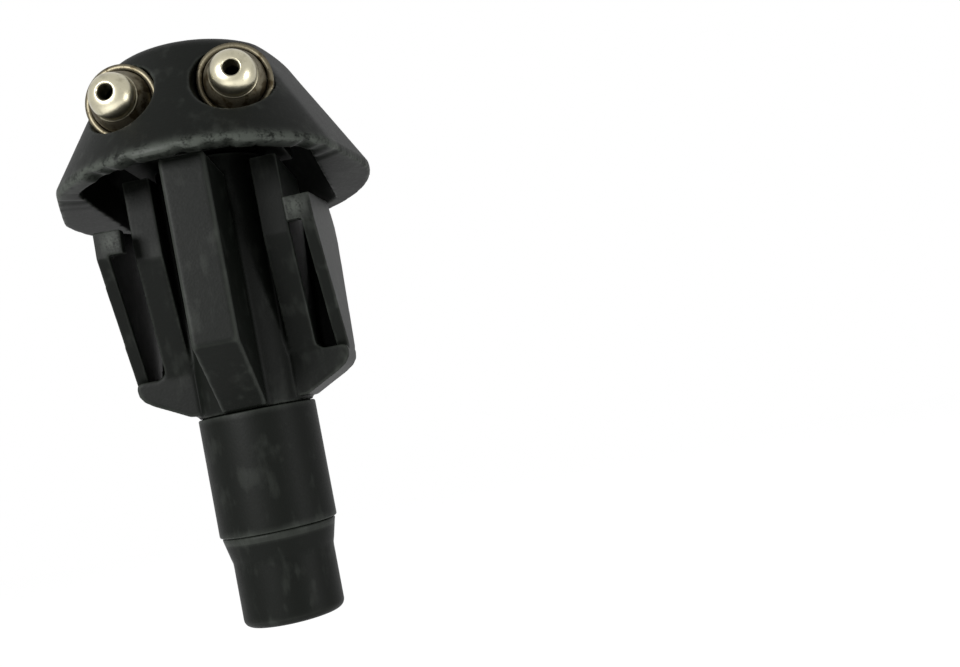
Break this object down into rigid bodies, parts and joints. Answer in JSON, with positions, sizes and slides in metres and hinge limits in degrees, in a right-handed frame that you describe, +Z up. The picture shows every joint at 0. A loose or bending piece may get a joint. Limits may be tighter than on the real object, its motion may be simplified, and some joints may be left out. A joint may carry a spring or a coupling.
{
  "type": "windscreen washer nozzle",
  "caption": "Snap-in washer nozzle with a conical cap, ball jets that aim in their sockets, sprung side tongues and a straight hose spigot below.",
  "frame": {"origin": "on the stem's axis, level with the front of the cap's underside, which rests on the panel", "axes": "+Z up along the stem towards the cap's top, -Y is the side that the jets face, +X runs across both snap tongues"},
  "size_m": [0.0208, 0.0208, 0.0376],
  "materials": {
    "black_plastic": "fine matte moulding with light scuffs",
    "jet_metal": "dull nickelled brass",
    "black_rubber": "matte rubber",
    "white_plastic": "smooth moulding",
    "spring_steel": "drawn wire"
  },
  "bodies": {
    "housing": {"cap": "black_plastic", "body": "black_plastic", "valve_housing": "black_plastic", "hose_spigot": "black_plastic", "left_jet_seal": "black_rubber", "right_jet_seal": "black_rubber", "manifold_seal": "black_rubber", "valve_seat_seal": "black_rubber", "valve_spring": "spring_steel", "strainer_cage": "white_plastic", "strainer_screen": "spring_steel"},
    "left_seat": {"left_seat_ring": "jet_metal"},
    "left_jet": {"left_ball_jet": "jet_metal"},
    "right_seat": {"right_seat_ring": "jet_metal"},
    "right_jet": {"right_ball_jet": "jet_metal"},
    "left_tongue": {"left_snap_tongue": "black_plastic"},
    "right_tongue": {"right_snap_tongue": "black_plastic"},
    "poppet": {"valve_poppet": "white_plastic"}
  },
  "joints": [
    {"name": "left_jet_pan", "type": "hinge", "parent": "housing", "child": "left_seat", "pos_m": [-0.00355, -0.00561, 0.00517], "axis": [0, 0, 1], "range_deg": [-13, 27]},
    {"name": "left_jet_tilt", "type": "hinge", "parent": "left_seat", "child": "left_jet", "pos_m": [-0.00355, -0.00561, 0.00517], "axis": [-0.9925, 0.1219, 0], "range_deg": [-17, 13]},
    {"name": "right_jet_pan", "type": "hinge", "parent": "housing", "child": "right_seat", "pos_m": [0.00355, -0.00561, 0.00517], "axis": [0, 0, 1], "range_deg": [-27, 13]},
    {"name": "right_jet_tilt", "type": "hinge", "parent": "right_seat", "child": "right_jet", "pos_m": [0.00355, -0.00561, 0.00517], "axis": [-0.9925, -0.1219, 0], "range_deg": [-17, 13]},
    {"name": "left_tongue_bend", "type": "hinge", "parent": "housing", "child": "left_tongue", "pos_m": [-0.0066, 0, -0.01208], "axis": [0, 1, 0], "range_deg": [0, 4.5], "stiffness_Nm_per_rad": 0.15},
    {"name": "right_tongue_bend", "type": "hinge", "parent": "housing", "child": "right_tongue", "pos_m": [0.0066, 0, -0.01208], "axis": [0, -1, 0], "range_deg": [0, 4.5], "stiffness_Nm_per_rad": 0.15},
    {"name": "valve_lift", "type": "slide", "parent": "housing", "child": "poppet", "axis": [0, 0, 1], "range_m": [0, 0.0009], "stiffness_N_per_m": 150, "springref_m": -0.001, "deforming": ["valve_spring"]}
  ]
}
